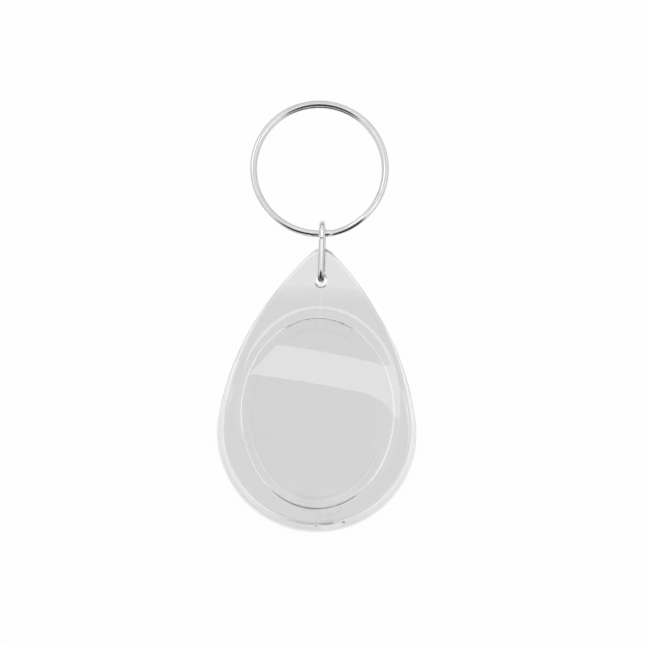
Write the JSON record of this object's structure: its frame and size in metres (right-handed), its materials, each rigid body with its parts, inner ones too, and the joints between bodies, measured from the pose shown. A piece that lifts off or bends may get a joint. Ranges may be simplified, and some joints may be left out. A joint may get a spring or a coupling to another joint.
{
  "type": "clear drop-shaped keychain",
  "caption": "Clear acrylic keychain: drop-shaped body with an oval insert pocket under a low domed window and a snap-in back cover, hung from a wire link on a two-turn split ring.",
  "frame": {"origin": "middle of the oval back cover's outer face, on the surface that the keychain lies on", "axes": "+X to the right seen from the front, +Y from the drop's round end towards the split ring, +Z out of the front window"},
  "size_m": [0.04, 0.0877, 0.0081],
  "materials": {
    "clear_body": "clear, polished, with fine moulding and handling marks",
    "clear_cover": "clear, polished, with fine handling scratches",
    "link_wire": "bright nickel plate with faint drawing lines",
    "ring_wire": "bright nickel plate, lightly tumbled"
  },
  "bodies": {
    "fob": {"fob_body": "clear_body"},
    "cover": {"back_cover": "clear_cover"},
    "link": {"connector_link": "link_wire"},
    "ring": {"split_ring": "ring_wire"}
  },
  "joints": [
    {"name": "cover_pull", "type": "slide", "parent": "fob", "child": "cover", "axis": [0, 0, -1], "range_m": [0, 0.025]},
    {"name": "link_swing", "type": "hinge", "parent": "fob", "child": "link", "pos_m": [0, 0.02694, 0.0041], "axis": [0, 0, 1], "range_deg": [-45, 45]},
    {"name": "ring_fold", "type": "hinge", "parent": "link", "child": "ring", "pos_m": [0, 0.03664, 0.00234], "axis": [1, 0, 0], "range_deg": [-130, 130]}
  ]
}
